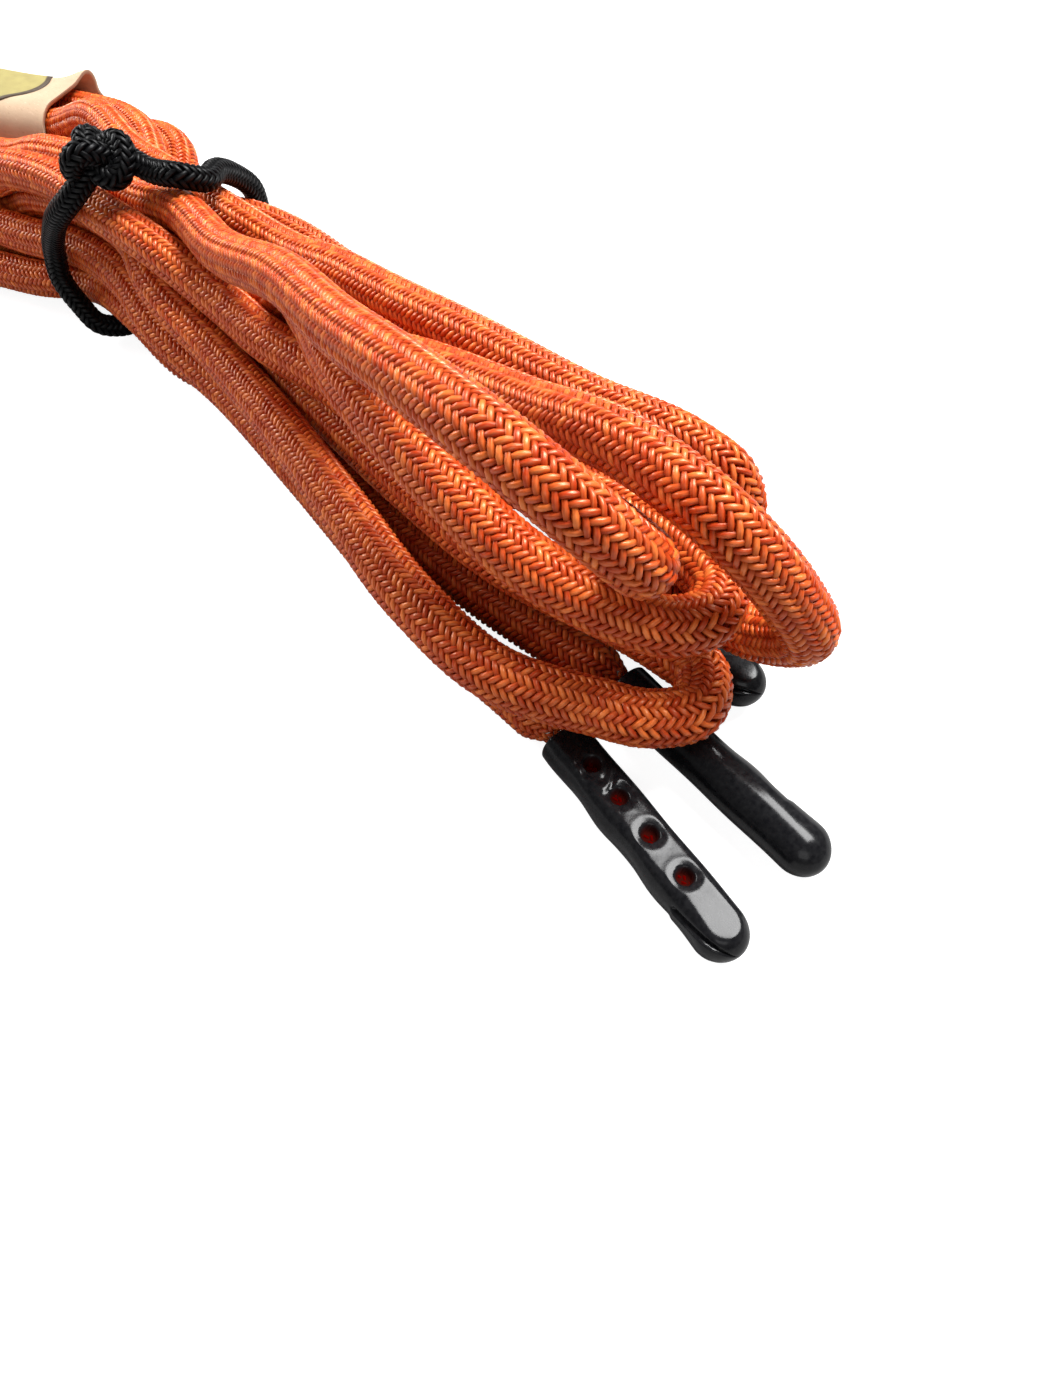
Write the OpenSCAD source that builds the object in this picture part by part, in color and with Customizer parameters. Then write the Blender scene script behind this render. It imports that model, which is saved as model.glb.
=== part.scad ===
// Pair of round braided laces, folded into a hank and tied with a short cord.
// Frame: the origin is on the table under the tie, +X runs along the hank to the
// four free ends, +Z is up. All lengths are in millimetres.

/* [Lace] */
// Diameter of the relaxed lace
cord_d = 4.3; // [4:0.1:5]
// How much thinner the lace is where the tie squeezes it
squeeze = 0.5; // [0:0.05:0.6]
// Wall of the braided sheath
sheath_t = 0.7; // [0.4:0.05:1]
// Gap between the sheath and the core yarns
core_gap = 0.05; // [0.02:0.01:0.2]

/* [Hank] */
// Turn of the left half of the hank away from the X axis
left_turn = 26; // [0:1:40]
// Reach of the two short left loops of lace B and their pair
band_reach = 76; // [70:1:90]
// Reach of the long left loops of lace A
far_reach = 118; // [100:1:140]
// How far the strands fan out towards the left end
fan_out = 0.65; // [0.5:0.05:0.9]

/* [Aglets] */
// Length of one aglet
aglet_l = 20.5; // [18:0.5:24]
// Outer diameter of one aglet
aglet_d = 4.1; // [3.6:0.1:4.4]
// Thickness of the rolled sheet
aglet_t = 0.3; // [0.2:0.05:0.4]
// Diameter of a punched hole
hole_d = 1.3; // [1:0.1:1.6]

/* [Tie] */
// Diameter of the tie cord
tie_d = 2.3; // [2:0.1:2.6]
// Radius of the knot's loop, to the middle of the cord
knot_r = 1.9; // [1.6:0.1:2.2]

/* [Band] */
// Length of the kraft paper band along the strands
band_l = 36; // [30:1:36]
// Thickness of the paper
band_t = 0.4; // [0.3:0.05:0.6]
// Half length of the glued badge
badge_half_l = 15; // [10:1:18]

/* [Hidden] */
sheath_sides = 8;
core_sides = 6;
steps = 2;
lace_orange = [0.86, 0.37, 0.14];
core_white = [0.9, 0.88, 0.84];
gun_black = [0.07, 0.07, 0.08];
tie_black = [0.05, 0.05, 0.06];
kraft = [0.79, 0.66, 0.51];
badge_ochre = [0.8, 0.7, 0.32];

// Seats of the fourteen strands in the tie, as [y, z].
seat_a = [4.2, 15.5];
seat_a_back = [6.3, 11.9];
seat_b = [8.4, 8.2];
seat_b_back = [8.4, 4.3];
seat_c = [0, 15.5];
seat_c_back = [-4.2, 15.5];
seat_d = [2.1, 11.9];
seat_d_back = [4.2, 8.2];
seat_e = [-2.1, 11.9];
seat_e_back = [0, 8.2];
seat_end_1 = [-4.2, 8.3];
seat_end_2 = [-4.1, 4.3];
seat_end_3 = [0, 4.3];
seat_end_4 = [4.1, 4.3];

// Way-points [x, y, z] of the five right-hand loops, from the tie out and back.
loop_a = [[11, 4.9, 14.8], [22, 5.5, 14.4], [28, 5.8, 15.3], [35, 5.5, 16.1], [47, 5.6, 17.1],
    [58, 6.6, 16.9], [67, 8.9, 16.1], [69.8, 9.6, 14.9], [70.9, 10.2, 12.2], [69.7, 10.7, 9.6],
    [66.9, 10.7, 8.4], [58, 9.8, 9],
    [47, 9.8, 10.6], [35, 10.2, 11.2], [22, 10.2, 11.1], [16, 9.7, 11.9], [11, 8.7, 12.2]];
loop_b = [[11, 8.1, 8], [16, 7.45, 8.4], [22, 5.9, 9.8], [28, 4.6, 11], [35, 1.8, 13.3],
    [47, 0.9, 17], [58, 0, 20], [68, -0.6, 22.6], [76, -0.5, 21.5], [80.5, 1.5, 17],
    [82, 3.6, 12], [79, 4.2, 8.8], [70, 3.6, 7.8], [58, 4.6, 7.4], [47, 6, 6.8],
    [35, 8, 6.7], [22, 9.5, 6.5], [16, 10, 5.1], [11, 9.3, 4.3]];
loop_c = [[11, 0.3, 16.7], [22, -2, 18], [35, -4, 21.8], [47, -7.2, 24.5], [58, -9.5, 27],
    [66, -10, 27], [72, -8.8, 24.5], [74.3, -6.5, 21], [72.5, -4, 18.4], [68, -2.6, 17.3],
    [58, -2.6, 15.8], [47, -3.2, 13.8], [35, -2.8, 12.9], [28, -3, 12.6], [22, -2.6, 12.7],
    [11, -3.6, 15]];
loop_d = [[11, 2, 11.8], [22, 1.8, 11.8], [28, 0.6, 15.8], [35, -2, 17.4], [47, -7, 19.5],
    [58, -8.6, 18.5], [66, -8, 16], [72.6, -5.3, 13.8], [75.4, -3.3, 13.1], [76.6, -0.8, 13],
    [75.6, 1.6, 13], [72.8, 2.8, 12.9], [58, 2.5, 12.3], [47, 2, 11.6], [35, 3.9, 8.3], [28, 4.1, 6.5],
    [22, 3.5, 6.2], [11, 4, 7.2]];
loop_e = [[11, -4.3, 10.9], [22, -5, 8.9], [35, -7.3, 9], [47, -10, 9.2], [58, -12.2, 8.8],
    [67, -12, 7.8], [73.6, -8.6, 7], [77.1, -6.4, 6.8], [78.8, -3.4, 6.7], [77.1, -0.7, 6.7],
    [74, -0.6, 6.8], [70, -1.2, 7.1], [60, -3.8, 8], [47, -3.8, 8.5], [35, -2.5, 8.4], [22, -0.6, 7.8],
    [11, -0.1, 7.6]];

// Way-points of the four free ends inside the hank, from the tie to the pivot of each end.
end_1 = [[11, -5.4, 6.9], [22, -5, 4.5], [35, -6.4, 3.5], [50, -8.6, 2.9]];
end_2 = [[11, -4, 2.5], [22, -1.2, 2.2], [35, -2, 2.2], [50, -3.9, 2.2]];
end_3 = [[11, 0.5, 2.5], [22, 3.2, 2.2], [33, 3, 2.2], [40, 2.1, 2.2]];
end_4 = [[11, 4.9, 2.6], [22, 7.6, 2.2], [33, 8, 2.2], [40, 8, 2.2]];

// Places of the strands in the left half, as [column, row] of a stacked bundle, and the
// point [y, z] that each one passes 13 mm left of the tie on its way there.
pitch = cord_d + 0.3;
row_step = 0.845;
left_end_1 = [[0.5, 1], [-6.3, 7.3]];
left_end_2 = [[0, 0], [-7.8, 3.2]];
left_end_3 = [[1, 0], [-3.4, 3.2]];
left_end_4 = [[2, 0], [1, 3.2]];
left_e = [[1.5, 1], [-3.2, 10.5]];
left_e_back = [[2.5, 1], [0.1, 7.6]];
left_c = [[2, 2], [-0.9, 14.1]];
left_c_back = [[1, 2], [-5.4, 14.2]];
left_a = [[3.7, 2], [5.8, 15.4]];
left_a_back = [[4.8, 2], [9.8, 12.6]];
left_b = [[5.3, 1], [13.4, 9.8]];
left_b_back = [[4.7, 0], [13.8, 4]];
left_d = [[4.2, 1], [4.9, 10.4]];
left_d_back = [[3.7, 0], [8, 6.4]];

tie_half = 4;
bulge_x = 13;
$fn = 72;
bundle_start = 22;
lift = 0.6;
bundle_end = 62;
long_turn = 90;

function unit(v) = v / norm(v);

// Radius of the lace at a distance x from the tie.
function lace_r(x) = cord_d / 2 - squeeze / 2 * exp(-pow(x / 34, 2));

// A point of the left half: s along the strands, a column and row, and how far it is fanned.
function left_at(s, place, fan) =
    let (mid = place[0] > 3 ? 4.45 : 1.25)
    let (t = -0.5 + pitch * (mid + (place[0] - mid) * (1 + fan_out * fan)))
    let (z = cord_d / 2 + lift + pitch * row_step * place[1] * (1 + fan_out * fan))
    [-s * cos(left_turn) - t * sin(left_turn), -s * sin(left_turn) + t * cos(left_turn), z];

// One strand of the left half, from the tie outwards to the start of its turn.
function left_strand(seat, left, far, fan) =
    concat([[-tie_half, seat[0], seat[1]], [-bulge_x, left[1][0], left[1][1]]],
        [for (s = [bundle_start, bundle_start + 8, bundle_start + 24, bundle_end])
            left_at(s, left[0], 0)],
        far > long_turn ? [left_at(bundle_end + 12, left[0], 0.35 * fan), left_at(far - 7, left[0], fan)] : [],
        [left_at(far, left[0], fan)]);

// The left loop that joins two strands, from seat p out to the round turn and back to seat q.
function reversed(list) = [for (i = [len(list) - 1:-1:0]) list[i]];
function left_loop(seat_p, p, seat_q, q, reach, fan) =
    let (half = (left_at(0, q[0], fan) - left_at(0, p[0], fan)) / 2)
    let (far = reach - norm(half))
    let (middle = left_at(far, p[0], fan) + half)
    let (along = norm(half) * [-cos(left_turn), -sin(left_turn), 0])
    concat(left_strand(seat_p, p, far, fan),
        [for (a = [45, 90, 135]) middle - half * cos(a) + along * sin(a)],
        reversed(left_strand(seat_q, q, far, fan)));

// One right-hand loop with its two seats in the tie.
function right_loop(seat, loop, seat_back) =
    concat([[tie_half, seat[0], seat[1]]], loop, [[tie_half, seat_back[0], seat_back[1]]]);
function right_end(seat, run) = concat([[tie_half, seat[0], seat[1]]], run);

// Way-points of the folded part of each lace, from one free end to the other.
way_a = concat(
    reversed(right_end(seat_end_1, end_1)),
    left_loop(seat_end_1, left_end_1, seat_e, left_e, far_reach - 8, 1),
    right_loop(seat_e, loop_e, seat_e_back),
    left_loop(seat_e_back, left_e_back, seat_c, left_c, far_reach, 1),
    right_loop(seat_c, loop_c, seat_c_back),
    left_loop(seat_c_back, left_c_back, seat_end_2, left_end_2, far_reach + 2, 1),
    right_end(seat_end_2, end_2));
way_b = concat(
    reversed(right_end(seat_end_4, end_4)),
    left_loop(seat_end_4, left_end_4, seat_d_back, left_d_back, band_reach, 0),
    right_loop(seat_d_back, reversed(loop_d), seat_d),
    left_loop(seat_d, left_d, seat_a, left_a, band_reach + 2, 1),
    right_loop(seat_a, loop_a, seat_a_back),
    left_loop(seat_a_back, left_a_back, seat_b, left_b, band_reach + 4, 1),
    right_loop(seat_b, loop_b, seat_b_back),
    left_loop(seat_b_back, left_b_back, seat_end_3, left_end_3, band_reach + 7, 0),
    right_end(seat_end_3, end_3));

// A smooth curve through way-points: direction at each point, then a cubic piece between.
function curve_dir(w, i) =
    let (a = max(0, i - 1), b = min(len(w) - 1, i + 1))
    let (d0 = norm(w[i] - w[a]), d1 = norm(w[b] - w[i]))
    d0 == 0 ? unit(w[b] - w[i]) : d1 == 0 ? unit(w[i] - w[a])
        : ((w[i] - w[a]) / d0 * d1 + (w[b] - w[i]) / d1 * d0) / (d0 + d1);
function cubic(p, u, q, v, t) =
    (2 * t * t * t - 3 * t * t + 1) * p + (t * t * t - 2 * t * t + t) * u
    + (3 * t * t - 2 * t * t * t) * q + (t * t * t - t * t) * v;
function smooth_curve(w) =
    let (dirs = [for (i = [0:len(w) - 1]) curve_dir(w, i)])
    [for (i = [0:len(w) - 2]) let (d = norm(w[i + 1] - w[i])) for (k = [0:steps - 1])
        cubic(w[i], dirs[i] * d, w[i + 1], dirs[i + 1] * d, k / steps),
        w[len(w) - 1]];

// Free ends from the hinge point to the mouth of the aglet, then the tip of the aglet.
tail_1 = [[50, -8.6, 2.9], [56, -9.3, 2.6], [62, -9.6, 2.4], [67, -9.6, 2.2], [71, -9.8, 2.15]];
tail_2 = [[50, -3.9, 2.2], [56, -4, 2.15], [62, -3.6, 2.15], [67, -3.1, 2.15], [71, -2.7, 2.15]];
tail_3 = [[40, 2.1, 2.2], [45, 1.3, 2.15], [50, 0.9, 2.15], [55, 0.7, 2.15], [59, 0.7, 2.15]];
tail_4 = [[40, 8, 2.2], [45, 8, 2.15], [50, 8, 2.15], [54, 8, 2.15], [57, 8, 2.15]];
tip_1 = [91.6, -13.9];
tip_2 = [93.4, -4.9];
tip_3 = [79.6, 4.4];
tip_4 = [76.4, 11.6];
end_r = 1.35;
tail_share = 0.97;
neck_share = 0.9;
wall_share = 0.4;
neck_l = 4;
inside_l = 14;
fit = 0.1;

// Rings of points round a curve, turned as little as possible from one to the next.
function directions(c) =
    [for (i = [0:len(c) - 1]) unit(c[min(i + 1, len(c) - 1)] - c[max(i - 1, 0)])];
function square_to(v, dir) = unit(v - (v * dir) * dir);
function sides_of(dirs) = let (n = len(dirs))
    [for (i = 0, v = square_to([0, 0, 1], dirs[0]); i < n;
        i = i + 1, v = i < n ? square_to(v, dirs[i]) : v) v];
function rings(c, radii, count) =
    let (dirs = directions(c), ups = sides_of(dirs))
    [for (i = [0:len(c) - 1]) let (across = cross(dirs[i], ups[i])) for (k = [0:count - 1])
        c[i] + radii[i] * (cos(360 * k / count) * ups[i] + sin(360 * k / count) * across)];

// Triangles between two rows of ring points.
function band_faces(a, b, count) = [for (k = [0:count - 1]) let (n = (k + 1) % count)
    each [[a + k, b + k, b + n], [a + k, b + n, a + n]]];

module solid_tube(c, radii, count) {
    last = (len(c) - 1) * count;
    polyhedron(rings(c, radii, count), concat(
        [for (k = [1:count - 2]) [0, k, k + 1]],
        [for (i = [0:len(c) - 2]) each band_faces(i * count, (i + 1) * count, count)],
        [for (k = [1:count - 2]) [last, last + k + 1, last + k]]));
}

module hollow_tube(c, outer, inner, count) {
    total = len(c) * count;
    last = total - count;
    polyhedron(concat(rings(c, outer, count), rings(c, inner, count)), concat(
        [for (i = [0:len(c) - 2]) each band_faces(i * count, (i + 1) * count, count)],
        [for (i = [0:len(c) - 2])
            each band_faces(total + (i + 1) * count, total + i * count, count)],
        band_faces(total, 0, count), band_faces(last, total + last, count)));
}

// Radius of the core yarns that fit inside a sheath of outer radius r.
function core_r(r) = (r - sheath_t) * cos(180 / sheath_sides) - core_gap;

// The folded part of a lace stops short of the hinge point at both ends.
function shortened(c) =
    let (n = len(c), gap = cord_d / 2 + fit)
    concat([c[1] + (c[0] - c[1]) * (1 - gap / norm(c[1] - c[0]))],
        [for (i = [1:n - 2]) c[i]],
        [c[n - 2] + (c[n - 1] - c[n - 2]) * (1 - gap / norm(c[n - 1] - c[n - 2]))]);
module lace_sheath(way) {
    c = shortened(smooth_curve(way));
    hollow_tube(c, [for (p = c) lace_r(p[0])], [for (p = c) lace_r(p[0]) - sheath_t],
        sheath_sides);
}
module lace_core(way) {
    c = shortened(smooth_curve(way));
    solid_tube(c, [for (p = c) core_r(lace_r(p[0]))], core_sides);
}

// A free end: domed start on the hinge point, full cord, a neck, then the part in the aglet.
function tail_line(tail, tip) =
    let (c = smooth_curve(tail), mouth = c[len(c) - 1], start = unit(c[1] - c[0]))
    let (run = unit([tip[0], tip[1], mouth[2]] - mouth))
    concat([for (a = [70, 40]) c[0] - start * cord_d / 2 * sin(a)], c,
        [mouth + run * mouth_gap, mouth + run * (neck_l + inside_l)]);
function tail_radii(tail, tip) =
    let (count = len(tail_line(tail, tip)), r = cord_d / 2)
    concat([for (a = [70, 40]) r * cos(a)], [for (i = [3:count - 3]) r * tail_share],
        [r * neck_share, end_r, end_r]);
module tail_sheath(tail, tip) {
    radii = tail_radii(tail, tip);
    hollow_tube(tail_line(tail, tip), radii, [for (r = radii) r - min(sheath_t, r * wall_share)],
        sheath_sides);
}
module tail_core(tail, tip) {
    radii = tail_radii(tail, tip);
    solid_tube(tail_line(tail, tip),
        [for (r = radii) (r - min(sheath_t, r * wall_share)) * cos(180 / sheath_sides) - core_gap],
        core_sides);
}

// Aglet in its own frame: mouth at the origin, tip on +X, flattened and pierced on top.
flat = 0.25;
tip_l = 1.4;
tip_in = 0.7;
holes = [3.6, 6.9, 10.5, 14.4];
slit_w = 0.35;
slit_l = 5;
module barrel(r, start, end, top) {
    intersection() {
        union() {
            translate([start, 0, 0]) rotate([0, 90, 0]) cylinder(r = r, h = end - tip_l - start);
            translate([end - tip_l, 0, 0]) rotate([0, 90, 0])
                cylinder(r1 = r, r2 = r - tip_in, h = tip_l);
        }
        translate([start - 1, -r, -r]) cube([end - start + 2, 2 * r, r + top]);
    }
}
module aglet_body() {
    r = aglet_d / 2;
    difference() {
        barrel(r, 0, aglet_l, r - flat);
        barrel(r - aglet_t, -fit, aglet_l + fit, r - flat - aglet_t);
        for (x = holes) translate([x, 0, 0]) cylinder(d = hole_d, h = aglet_d);
        translate([aglet_l - slit_l, -r, -slit_w / 2]) cube([slit_l + 1, r, slit_w]);
    }
}
module at_tip(tail, tip) {
    mouth = tail[len(tail) - 1];
    translate([mouth[0], mouth[1], mouth[2]])
        rotate([0, 0, atan2(tip[1] - mouth[1], tip[0] - mouth[0])])
            translate([mouth_gap, 0, 0]) children();
}
mouth_gap = 1;
module aglet(tail, tip, roll = 0) at_tip(tail, tip) rotate([roll, 0, 0]) aglet_body();
module cord_end(tail, tip) at_tip(tail, tip)
    translate([neck_l + inside_l - mouth_gap + fit, 0, 0]) rotate([0, 90, 0]) {
        cylinder(r = end_r, h = plug_l / 2);
        translate([0, 0, plug_l / 2]) cylinder(r1 = end_r, r2 = end_r / 2, h = plug_l / 2);
    }
plug_l = 1.6;

// The tie runs obliquely round all the strands, from the right of the knot, over the rear of
// the bundle, under it and up the front side to the knot again.
tie_out = [[9.2, -0.5, 20.05], [12.2, 0.9, 20.1], [12.4, 3, 19.1], [10.5, 5.4, 18.4],
    [9, 7.9, 16.7], [7.9, 10.2, 14.2], [6.6, 11.3, 10.6], [5.7, 12, 7.2], [5.2, 12, 4.7],
    [4.4, 11.1, 2.3], [3.5, 9.2, 1.3], [2.4, 6.4, 1.2], [0.8, 2, 1.2], [-0.4, -3, 1.2],
    [-1, -5.2, 1.4], [-1.6, -6.7, 2.1], [-2.8, -7.5, 4.2], [-4.4, -7.8, 6.6],
    [-4.2, -7.4, 9.6], [-1.4, -7.5, 13], [2.2, -7.6, 16], [4.4, -6.7, 18]];
knot_at = [5.7, -3.3, 20.8];
knot_turn = 45;
knot_tilt = -5;
tie_line = smooth_curve(tie_out);
tie_wall = 0.45;
module tie_sheath() color(tie_black)
    hollow_tube(tie_line, [for (p = tie_line) tie_d / 2], [for (p = tie_line) tie_d / 2 - tie_wall],
        sheath_sides);
module tie_core() color(core_white)
    solid_tube(tie_line, [for (p = tie_line)
        (tie_d / 2 - tie_wall) * cos(180 / sheath_sides) - core_gap], core_sides);
module tie_knot() color(tie_black) translate(knot_at) rotate([knot_tilt, 0, knot_turn]) {
    rotate_extrude() translate([knot_r, 0]) circle(d = tie_d);
    rotate([90, 0, 40]) cylinder(d = tie_d, h = 2 * knot_r + tie_d, center = true);
    sphere(r = knot_r);
}

// Paper band round the six strands of the rear group, and the badge glued on its top edge.
band_places = [left_a, left_a_back, left_b, left_b_back, left_d, left_d_back];
band_start = 24.2;
band_gap = 0.2;
glue = 0.05;
badge_t = 0.2;
module band_outline(grow) offset(r = grow) hull() for (left = band_places) {
    column = left[0][0];
    translate([0.5 - pitch * column, cord_d / 2 + lift + pitch * row_step * left[0][1]])
        circle(d = cord_d + 2 * band_gap);
}
module along_left(start, length) rotate([0, 0, 180 + left_turn]) translate([start, 0, 0])
    rotate([90, 0, 90]) linear_extrude(length) children();
module kraft_band() color(kraft) along_left(band_start, band_l) difference() {
    band_outline(band_t);
    band_outline(0);
}
module badge() color(badge_ochre) intersection() {
    along_left(band_start + 2, band_l - 4) difference() {
        band_outline(band_t + glue + badge_t);
        band_outline(band_t + glue);
    }
    rotate([0, 0, 180 + left_turn]) translate([band_start + band_l / 2, -16.5, 12])
        rotate([45, 0, 0]) scale([badge_half_l / 5, 1, 1]) cylinder(r = 5, h = 20, center = true);
}

module lace_a_sheath() color(lace_orange) lace_sheath(way_a);
module lace_a_core() color(core_white) lace_core(way_a);
module lace_b_sheath() color(lace_orange) lace_sheath(way_b);
module lace_b_core() color(core_white) lace_core(way_b);
module tail_1_sheath() color(lace_orange) tail_sheath(tail_1, tip_1);
module tail_2_sheath() color(lace_orange) tail_sheath(tail_2, tip_2);
module tail_3_sheath() color(lace_orange) tail_sheath(tail_3, tip_3);
module tail_4_sheath() color(lace_orange) tail_sheath(tail_4, tip_4);
module tail_1_core() color(core_white) tail_core(tail_1, tip_1);
module tail_2_core() color(core_white) tail_core(tail_2, tip_2);
module tail_3_core() color(core_white) tail_core(tail_3, tip_3);
module tail_4_core() color(core_white) tail_core(tail_4, tip_4);
module aglet_1() color(gun_black) aglet(tail_1, tip_1);
module aglet_2() color(gun_black) aglet(tail_2, tip_2, 180);
module aglet_3() color(gun_black) aglet(tail_3, tip_3);
module aglet_4() color(gun_black) aglet(tail_4, tip_4);
module cord_end_1() color(core_white) cord_end(tail_1, tip_1);
module cord_end_2() color(core_white) cord_end(tail_2, tip_2);
module cord_end_3() color(core_white) cord_end(tail_3, tip_3);
module cord_end_4() color(core_white) cord_end(tail_4, tip_4);

lace_a_sheath();
lace_a_core();
lace_b_sheath();
lace_b_core();
tail_1_sheath();
tail_1_core();
aglet_1();
cord_end_1();
tail_2_sheath();
tail_2_core();
aglet_2();
cord_end_2();
tail_3_sheath();
tail_3_core();
aglet_3();
cord_end_3();
tail_4_sheath();
tail_4_core();
aglet_4();
cord_end_4();
tie_sheath();
tie_core();
tie_knot();
kraft_band();
badge();
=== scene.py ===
import math

import bpy
import numpy as np
from mathutils import Matrix, Vector


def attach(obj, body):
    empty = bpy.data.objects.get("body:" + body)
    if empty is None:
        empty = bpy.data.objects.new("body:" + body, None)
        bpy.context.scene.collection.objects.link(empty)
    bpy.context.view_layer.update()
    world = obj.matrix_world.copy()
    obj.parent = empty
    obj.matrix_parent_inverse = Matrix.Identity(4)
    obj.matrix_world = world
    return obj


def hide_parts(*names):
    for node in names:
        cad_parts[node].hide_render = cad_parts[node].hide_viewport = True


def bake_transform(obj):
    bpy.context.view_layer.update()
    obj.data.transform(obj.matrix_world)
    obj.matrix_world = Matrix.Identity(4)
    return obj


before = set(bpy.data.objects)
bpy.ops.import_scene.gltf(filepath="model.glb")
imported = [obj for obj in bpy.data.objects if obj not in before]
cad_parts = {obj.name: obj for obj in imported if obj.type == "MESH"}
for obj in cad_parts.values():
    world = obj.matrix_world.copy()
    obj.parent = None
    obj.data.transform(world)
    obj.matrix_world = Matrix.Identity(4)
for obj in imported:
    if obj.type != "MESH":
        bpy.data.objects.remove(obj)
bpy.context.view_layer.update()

# Lengths below are in millimetres, in the CAD model's own frame; MM turns them into metres.
MM = 0.001
rng = np.random.default_rng(7)

# ---------------------------------------------------------------- sizes shared with the CAD
# The braid's outer radius, how much the tie squeezes it, and how far along that is felt.
CORD_R = 2.25
SQUEEZE = 0.27
SQUEEZE_REACH = 34
# The left half turns off by LEFT_TURN. Its strands lie PITCH apart in rows ROW apart.
LEFT_TURN = math.radians(26)
PITCH = 4.6
ROW = 0.845 * PITCH
BASE_Z = 2.75
# Share by which the far loops spread from the middles of the free and the banded strands.
FAN = 0.65
FREE_MIDDLE, BAND_MIDDLE = 1.25, 4.45
LAST_FREE_COLUMN = 3
# Half the tie's width, the straight part of the left half, and the reach of its turns.
TIE_HALF = 4
BUNDLE_START, BUNDLE_END = 22, 62
BAND_REACH, FAR_REACH = 76, 118
LONG_TURN = 90

# Seats [y, z] of the strands in the tie, then [column, row] and the bulge point [y, z] on the left.
SEATS = {
    "a": (4.2, 15.5), "a_back": (6.3, 11.9), "b": (8.4, 8.2), "b_back": (8.4, 4.3),
    "c": (0, 15.5), "c_back": (-4.2, 15.5), "d": (2.1, 11.9), "d_back": (4.2, 8.2),
    "e": (-2.1, 11.9), "e_back": (0, 8.2), "end_1": (-4.2, 8.3), "end_2": (-4.1, 4.3),
    "end_3": (0, 4.3), "end_4": (4.1, 4.3),
}
LEFT = {
    "end_1": (0.5, 1, -6.3, 7.3), "end_2": (0, 0, -7.8, 3.2), "end_3": (1, 0, -3.4, 3.2),
    "end_4": (2, 0, 1, 3.2), "e": (1.5, 1, -3.2, 10.5), "e_back": (2.5, 1, 0.1, 7.6),
    "c": (2, 2, -0.9, 14.1), "c_back": (1, 2, -5.4, 14.2), "a": (3.7, 2, 5.8, 15.4),
    "a_back": (4.8, 2, 9.8, 12.6), "b": (5.3, 1, 13.4, 9.8), "b_back": (4.7, 0, 13.8, 4),
    "d": (4.2, 1, 4.9, 10.4), "d_back": (3.7, 0, 8, 6.4),
}
BULGE_X = 13

# Right-hand loops, from the tie out and back.
LOOPS = {
    "a": [(11, 4.9, 14.8), (22, 5.5, 14.4), (28, 5.8, 15.3), (35, 5.5, 16.1), (47, 5.6, 17.1),
          (58, 6.6, 16.9), (67, 8.9, 16.1), (69.8, 9.6, 14.9), (70.9, 10.2, 12.2),
          (69.7, 10.7, 9.6), (66.9, 10.7, 8.4), (58, 9.8, 9), (47, 9.8, 10.6), (35, 10.2, 11.2),
          (22, 10.2, 11.1), (16, 9.7, 11.9), (11, 8.7, 12.2)],
    "b": [(11, 8.1, 8), (16, 7.45, 8.4), (22, 5.9, 9.8), (28, 4.6, 11), (35, 1.8, 13.3),
          (47, 0.9, 17), (58, 0, 20), (68, -0.6, 22.6), (76, -0.5, 21.5), (80.5, 1.5, 17),
          (82, 3.6, 12), (79, 4.2, 8.8), (70, 3.6, 7.8), (58, 4.6, 7.4), (47, 6, 6.8),
          (35, 8, 6.7), (22, 9.5, 6.5), (16, 10, 5.1), (11, 9.3, 4.3)],
    "c": [(11, 0.3, 16.7), (22, -2, 18), (35, -4, 21.8), (47, -7.2, 24.5), (58, -9.5, 27),
          (66, -10, 27), (72, -8.8, 24.5), (74.3, -6.5, 21), (72.5, -4, 18.4), (68, -2.6, 17.3),
          (58, -2.6, 15.8), (47, -3.2, 13.8), (35, -2.8, 12.9), (28, -3, 12.6),
          (22, -2.6, 12.7), (11, -3.6, 15)],
    "d": [(11, 2, 11.8), (22, 1.8, 11.8), (28, 0.6, 15.8), (35, -2, 17.4), (47, -7, 19.5),
          (58, -8.6, 18.5), (66, -8, 16), (72.6, -5.3, 13.8), (75.4, -3.3, 13.1),
          (76.6, -0.8, 13), (75.6, 1.6, 13), (72.8, 2.8, 12.9), (58, 2.5, 12.3), (47, 2, 11.6),
          (35, 3.9, 8.3), (28, 4.1, 6.5), (22, 3.5, 6.2), (11, 4, 7.2)],
    "e": [(11, -4.3, 10.9), (22, -5, 8.9), (35, -7.3, 9), (47, -10, 9.2), (58, -12.2, 8.8),
          (67, -12, 7.8), (73.6, -8.6, 7), (77.1, -6.4, 6.8), (78.8, -3.4, 6.7),
          (77.1, -0.7, 6.7), (74, -0.6, 6.8), (70, -1.2, 7.1), (60, -3.8, 8), (47, -3.8, 8.5),
          (35, -2.5, 8.4), (22, -0.6, 7.8), (11, -0.1, 7.6)],
}

# Free ends: the run inside the hank, the hinge point, and the run to the aglet's mouth.
ENDS = {
    "end_1": [(11, -5.4, 6.9), (22, -5, 4.5), (35, -6.4, 3.5), (50, -8.6, 2.9),
              (56, -9.3, 2.6), (62, -9.6, 2.4), (67, -9.6, 2.2), (71, -9.8, 2.15)],
    "end_2": [(11, -4, 2.5), (22, -1.2, 2.2), (35, -2, 2.2), (50, -3.9, 2.2),
              (56, -4, 2.15), (62, -3.6, 2.15), (67, -3.1, 2.15), (71, -2.7, 2.15)],
    "end_3": [(11, 0.5, 2.5), (22, 3.2, 2.2), (33, 3, 2.2), (40, 2.1, 2.2),
              (45, 1.3, 2.15), (50, 0.9, 2.15), (55, 0.7, 2.15), (59, 0.7, 2.15)],
    "end_4": [(11, 4.9, 2.6), (22, 7.6, 2.2), (33, 8, 2.2), (40, 8, 2.2),
              (45, 8, 2.15), (50, 8, 2.15), (54, 8, 2.15), (57, 8, 2.15)],
}
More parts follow.
